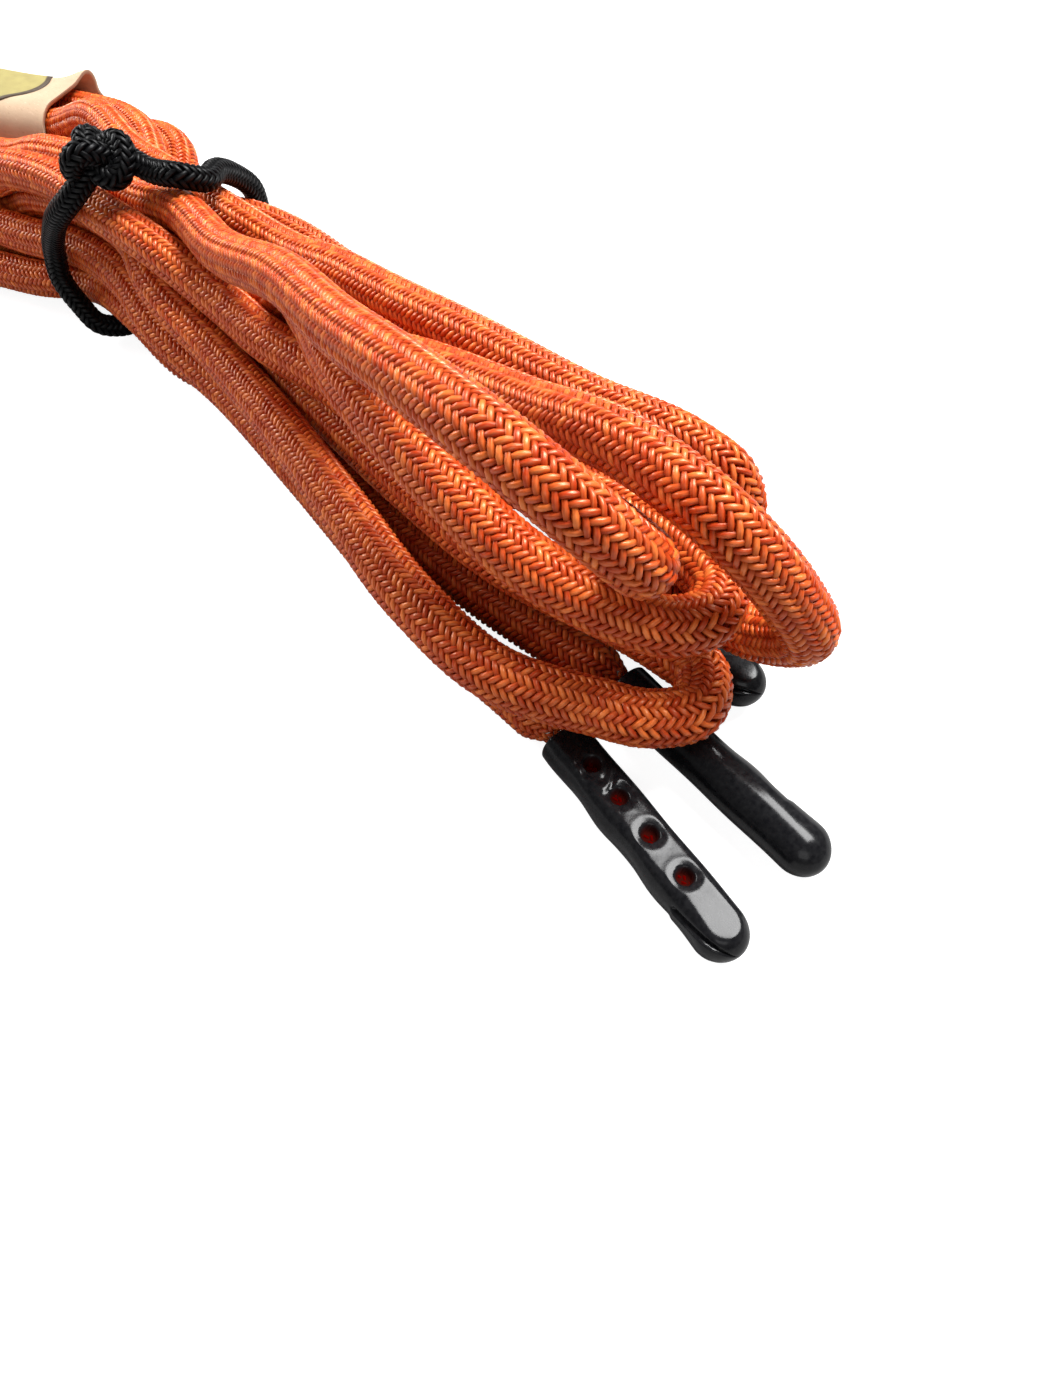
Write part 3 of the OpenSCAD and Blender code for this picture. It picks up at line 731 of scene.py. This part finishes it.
def rolled_radius(x, a, seed):
    """Radius of the shell before its top is pressed flat: waves, a seam and a slit tip."""
    r = AGLET_R - 0.03 + 0.03 * np.sin(0.8 * x + 2 * a + seed)
    seam = SEAM_AT + 0.12 * np.sin(0.75 * x + seed)
    r = r + 0.09 * np.sin(1.05 * x + seed) * hump(a, seam, 0.45)
    slit = SLIT_AT + SLIT_DRIFT * ease(AGLET_L - SLIT_L, AGLET_L, x)
    open_part = ease(AGLET_L - SLIT_L, AGLET_L - SLIT_L + 0.5, x)
    r = r - SLIT_DEPTH * open_part * hump(a, slit, 0.07)
    r = r + SLIT_LIP * open_part * ease(slit + 0.02, slit - 0.1, a) * ease(-3, -1.9, a)
    end = np.clip((x - (AGLET_L - ROUND_END)) / ROUND_END, 0, 1)
    return r * np.sqrt(1 - 0.99 * end**2)


def aglet_surface(x, a, seed):
    """Points of the rolled shell: x from the mouth, a the angle from the top towards +Y."""
    r = rolled_radius(x, a, seed)
    y, z = r * np.sin(a), r * np.cos(a)
    wrinkle = WRINKLE_RISE * np.sin(5.2 * x + 3 * np.sin(2.3 * y + x + seed))
    top = FLAT_AT + wrinkle * hump(x, WRINKLE_AT, WRINKLE_REACH) + 0.05 * np.sin(0.9 * x + seed)
    z = top - FLAT_SOFT * np.logaddexp(0, (top - z) / FLAT_SOFT)
    upper = ease(0.2, 0.9, z)
    # pit marks the holes' floors, which the aglet material paints in shade.
    pit = np.zeros_like(x)
    for hole in HOLES:
        d = np.hypot(x - hole, y)
        z = z - upper * DENT_DEPTH * hump(d, 0, DENT_R)
        z = z + upper * RING_RISE * hump(d, RING_R, RING_W)
        inside = ease(HOLE_R + 0.12, HOLE_R - 0.1, d) * upper
        z = z - HOLE_DEPTH * inside
        pit = np.maximum(pit, inside)
    return np.stack([x, y, z], -1), pit


def make_aglet(name, roll, seed):
    """Rolled aglet of one free end: open mouth with a wall, pierced top, rounded slit tip."""
    turn = np.linspace(0, math.pi / 2, ROUND_STEPS)
    along = np.r_[np.arange(0, AGLET_L - ROUND_END, AGLET_STATION),
                  AGLET_L - ROUND_END * (1 - np.sin(turn))]
    a = 2 * math.pi * np.arange(AGLET_SIDES) / AGLET_SIDES - math.pi
    x, angle = np.meshgrid(along, a, indexing="ij")
    shell, pit = aglet_surface(x, angle, seed)
    lining = [shell[:1] * (1, shrink, shrink) + (depth, 0, 0) for shrink, depth in MOUTH_RINGS]
    grid = np.concatenate(lining + [shell])
    pit = np.concatenate([np.zeros((len(lining), AGLET_SIDES)), pit])
    run = ENDS[name]
    heading = math.atan2(TIPS[name][1] - run[-1][1], TIPS[name][0] - run[-1][0])
    place = np.array(Matrix.Rotation(heading, 3, "Z") @ Matrix.Rotation(roll, 3, "X"))
    at = np.array(run[-1]) + MOUTH_GAP * np.array([math.cos(heading), math.sin(heading), 0])
    verts = grid.reshape(-1, 3) @ place.T + at
    rows = len(grid)
    quads = tube_grid(rows, AGLET_SIDES, 0)[:, ::-1]
    last = (rows - 1) * AGLET_SIDES
    caps = [list(range(AGLET_SIDES)), list(range(last, last + AGLET_SIDES))[::-1]]
    ob = mesh_piece(f"aglet_{name[-1]}_shell", verts, quads, caps, AGLET,
                    {"pit": pit.ravel()}, whole_uv(rows, AGLET_SIDES, flipped=True))
    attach(ob, name)
    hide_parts(f"aglet_{name[-1]}")


for index, name in enumerate(ENDS):
    make_aglet(name, math.pi if name == TURNED_OVER else 0, SEED_STEP * index)

# ---------------------------------------------------------------- paper band and badge
BAND_STRANDS = ("a", "a_back", "b", "b_back", "d", "d_back")
# From mouth to far end along the strands, distance from their axes, thickness, and points round.
BAND_START, BAND_END = 20.35, 60.2
BAND_INNER, BAND_T = 2.35, 0.4
BAND_POINTS = 240
# At the mouth the paper stands off the strands, most of all at its rear corner.
MOUTH_LIFT, MOUTH_REACH = 0.55, 6
CORNER_LIFT, CORNER_REACH, CORNER_POINTS = 1.1, 2.2, 6
# Height of the paper's slow waves.
WAVE = 0.1
# Places of the paper's first rings from its mouth, and the number of the even ones after them.
EDGE_RINGS, BAND_RINGS = np.array([0, 0.15, 0.4]), 46


def band_outline(r):
    """Closed outline [t, z] of the paper round the strands, evenly spaced, from the inner side."""
    centres = np.array([(-0.5 + PITCH * LEFT[name][0], BASE_Z + ROW * LEFT[name][1])
                        for name in BAND_STRANDS])
    a = np.linspace(-math.pi, math.pi, 721)
    away = np.stack([np.cos(a), np.sin(a)], -1)
    points = centres[np.argmax(centres @ away.T, axis=0)] + r * away
    run = np.r_[0, np.cumsum(np.linalg.norm(np.diff(points, axis=0), axis=1))]
    at = np.linspace(0, run[-1], BAND_POINTS + 1)[:-1]
    return np.stack([np.interp(at, run, points[:, k]) for k in range(2)], -1)


OUTLINE = band_outline(BAND_INNER)
OUTWARD = unit(np.roll(OUTLINE, -1, axis=0) - np.roll(OUTLINE, 1, axis=0))[:, ::-1] * (1, -1)
REAR_CORNER = np.argmax(OUTLINE @ (1, 1.2))


def band_point(s, place, out):
    """A point of the band: s along the strands, place along the outline, out from its inside."""
    low = np.floor(place).astype(int)
    part = (place - low)[..., None]
    low = low % BAND_POINTS
    high = (low + 1) % BAND_POINTS
    base = OUTLINE[low] * (1 - part) + OUTLINE[high] * part
    away = unit(OUTWARD[low] * (1 - part) + OUTWARD[high] * part)
    from_mouth = s - BAND_START
    corner = np.abs((place - REAR_CORNER + BAND_POINTS / 2) % BAND_POINTS - BAND_POINTS / 2)
    height = base[..., 1]
    lift = MOUTH_LIFT * np.exp(-from_mouth / MOUTH_REACH) * ease(0.5, 3, height)
    lift = lift + CORNER_LIFT * hump(from_mouth, 0, CORNER_REACH) * hump(corner, 0, CORNER_POINTS)
    lift = lift + WAVE * np.sin(0.31 * s + 0.05 * place) * ease(2, 7, height)
    tz = base + away * (out + lift)[..., None]
    c, n = math.cos(LEFT_TURN), math.sin(LEFT_TURN)
    return np.stack([-s * c - tz[..., 0] * n, -s * n + tz[..., 0] * c, tz[..., 1]], -1)


def make_band():
    """The paper sheet: its outside from the mouth to the far end, then its inside back."""
    s = np.r_[BAND_START + EDGE_RINGS, np.linspace(BAND_START + 1, BAND_END, BAND_RINGS)]
    place = np.arange(BAND_POINTS).astype(float)
    s_grid, place_grid = np.meshgrid(s, place, indexing="ij")
    outside = band_point(s_grid, place_grid, np.full(s_grid.shape, BAND_T))
    inside = band_point(s_grid, place_grid, np.zeros(s_grid.shape))
    grid = np.concatenate([outside, inside[::-1], outside[:1]])
    rows = len(grid)
    quads = tube_grid(rows, BAND_POINTS, 0)
    ob = mesh_piece("kraft_band_paper", grid.reshape(-1, 3), quads, [], KRAFT, {},
                    whole_uv(rows, BAND_POINTS))
    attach(ob, "band")
    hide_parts("kraft_band")


# The badge's middle along and across the strands, its half axes, and how far its face stands
# above the paper and its edge dips into it. The rim starts at RIM_FROM of its size.
BADGE_AT, BADGE_ACROSS = 38.6, 20
BADGE_HALF_L, BADGE_HALF_W = 15, 7
BADGE_T, BADGE_UNDER = 0.12, 0.05
BADGE_SIDES, RIM_FROM = 120, 0.955
# Ring sizes: the face, the rim, and last the edge that dips into the paper.
BADGE_RINGS = np.r_[np.linspace(0.02, 0.95, 22), 0.962, 0.98, 1, 1]
BADGE_UV = 0.48


def make_badge():
    """Oval printed badge that follows the top of the band; it has a thin dark rim."""
    centre = np.argmin(np.abs(OUTLINE[:, 0] - BADGE_ACROSS) + 3 * (OUTLINE[:, 1] < 12))
    step = np.linalg.norm(OUTLINE[1] - OUTLINE[0])
    a = 2 * math.pi * np.arange(BADGE_SIDES) / BADGE_SIDES
    ring, angle = np.meshgrid(BADGE_RINGS, a, indexing="ij")
    s = BADGE_AT + BADGE_HALF_L * ring * np.cos(angle)
    place = centre + BADGE_HALF_W / step * ring * np.sin(angle)
    out = np.full(s.shape, BAND_T + BADGE_T)
    out[-1] = BAND_T - BADGE_UNDER
    grid = band_point(s, place, out)
    rows, sides = s.shape
    quads = tube_grid(rows, sides, 0)[:, ::-1]
    rim = np.repeat((BADGE_RINGS > RIM_FROM).astype(float), sides)
    uv = 0.5 + BADGE_UV * np.stack([ring * np.cos(angle), ring * np.sin(angle)], -1)
    ob = mesh_piece("badge_label", grid.reshape(-1, 3), quads, [list(range(sides))], BADGE,
                    {"rim": rim}, uv.reshape(-1, 2)[quads.ravel()])
    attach(ob, "band")
    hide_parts("badge")


make_band()
make_badge()

# ---------------------------------------------------------------- camera, floor and light
# The camera's place, view direction and right-hand side, then its lens and sensor width in mm.
CAMERA_AT = Vector((97.75, -39.98, 63.9)) * MM
CAMERA_AHEAD = Vector((-0.4056, 0.4056, -0.8192))
CAMERA_RIGHT = Vector((0.7071, 0.7071, 0))
LENS, SENSOR = 24.43, 36
# Half the floor's side and its place below the table plane, in metres.
FLOOR_HALF, FLOOR_BELOW = 3.0, 0.0001
# Name, place in metres, width and height in metres, power in watts.
LIGHTS = (("key", (0.1, 0.45, 0.85), (0.5, 0.5), 23),
          ("fill", (0.5, -0.5, 0.5), (0.5, 0.4), 1.2),
          ("rim", (-0.3, -0.1, 0.2), (0.3, 0.1), 1.2))
LIGHTS_AIM = Vector((0.03, -0.005, 0.005))
SKY_STRENGTH = 0.18


def make_camera():
    data = bpy.data.cameras.new("camera")
    data.lens = LENS
    data.sensor_width = SENSOR
    data.clip_start = 0.005
    data.clip_end = 20
    camera = bpy.data.objects.new("camera", data)
    back = -CAMERA_AHEAD.normalized()
    right = CAMERA_RIGHT.normalized()
    up = back.cross(right)
    turn = Matrix((right, up, back)).transposed().to_4x4()
    camera.matrix_world = Matrix.Translation(CAMERA_AT) @ turn
    bpy.context.collection.objects.link(camera)
    bpy.context.scene.camera = camera


def make_floor():
    mesh = bpy.data.meshes.new("floor")
    corners = [(FLOOR_HALF * x, FLOOR_HALF * y, 0) for x, y in ((-1, -1), (1, -1), (1, 1), (-1, 1))]
    mesh.from_pydata(corners, [], [(0, 1, 2, 3)])
    mesh.materials.append(floor_material())
    floor = bpy.data.objects.new("floor", mesh)
    floor.location.z = -FLOOR_BELOW
    bpy.context.collection.objects.link(floor)


def area_light(name, at, size, power):
    """A soft rectangular white light, aimed at the middle of the hank."""
    data = bpy.data.lights.new(name, "AREA")
    data.shape = "RECTANGLE"
    data.size, data.size_y = size
    data.energy = power
    light = bpy.data.objects.new(name, data)
    light.location = at
    aim = LIGHTS_AIM - Vector(at)
    light.rotation_euler = aim.to_track_quat("-Z", "Y").to_euler()
    bpy.context.collection.objects.link(light)


def make_sky(strength):
    """A white world: it shows white to the camera and lights the part at the given strength."""
    world = bpy.data.worlds.new("world")
    world.use_nodes = True
    tree = world.node_tree
    sky = tree.nodes["Background"]
    sky.inputs["Color"].default_value = (1, 1, 1, 1)
    seen = tree.nodes.new("ShaderNodeLightPath").outputs["Is Camera Ray"]
    level = tree.nodes.new("ShaderNodeMapRange")
    level.inputs["To Min"].default_value = strength
    level.inputs["To Max"].default_value = 1
    tree.links.new(seen, level.inputs["Value"])
    tree.links.new(level.outputs["Result"], sky.inputs["Strength"])
    bpy.context.scene.world = world


def make_light():
    for light in LIGHTS:
        area_light(*light)
    make_sky(SKY_STRENGTH)
    bpy.context.scene.view_settings.view_transform = "Standard"


make_camera()
make_floor()
make_light()
